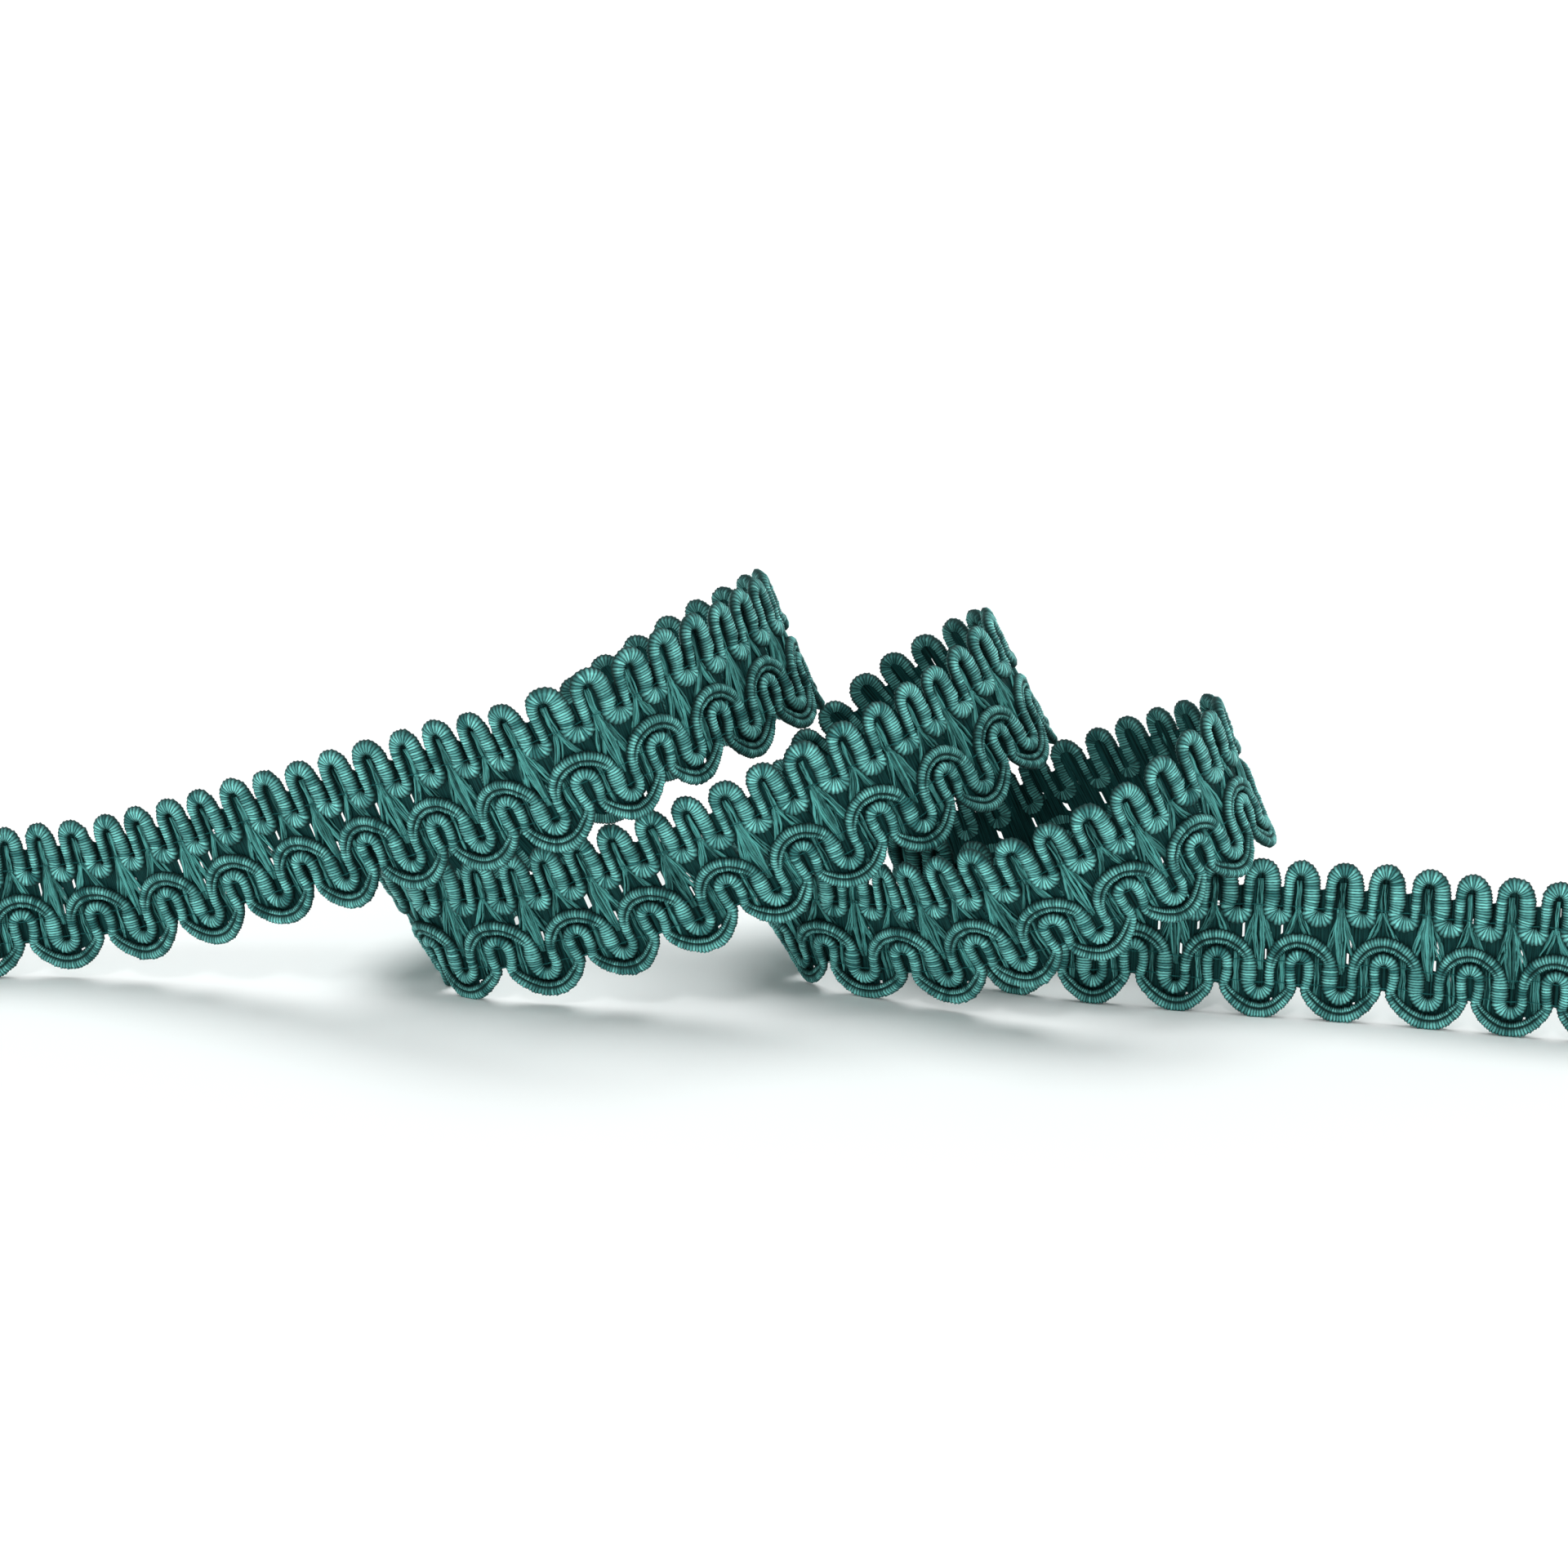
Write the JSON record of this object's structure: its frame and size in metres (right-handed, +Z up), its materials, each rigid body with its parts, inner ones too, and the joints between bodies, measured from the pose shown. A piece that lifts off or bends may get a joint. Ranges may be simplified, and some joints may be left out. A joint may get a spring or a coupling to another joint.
{
  "type": "upholstery gimp trim",
  "caption": "Cut length of scroll gimp braid standing on its edge in loose leaning curls, made to cover tacks and cloth edges on upholstered furniture.",
  "frame": {"origin": "middle of the bounding box at floor level", "axes": "+Z up, +X along the run to the right as in the picture, +Y towards the back, so the decorated face of the front passes looks towards -Y"},
  "size_m": [0.1634, 0.041, 0.04],
  "materials": {
    "gimp_braid": "silky wrapped rayon cord, teal"
  },
  "bodies": {
    "root": {"gimp_tape": "gimp_braid"}
  },
  "joints": []
}
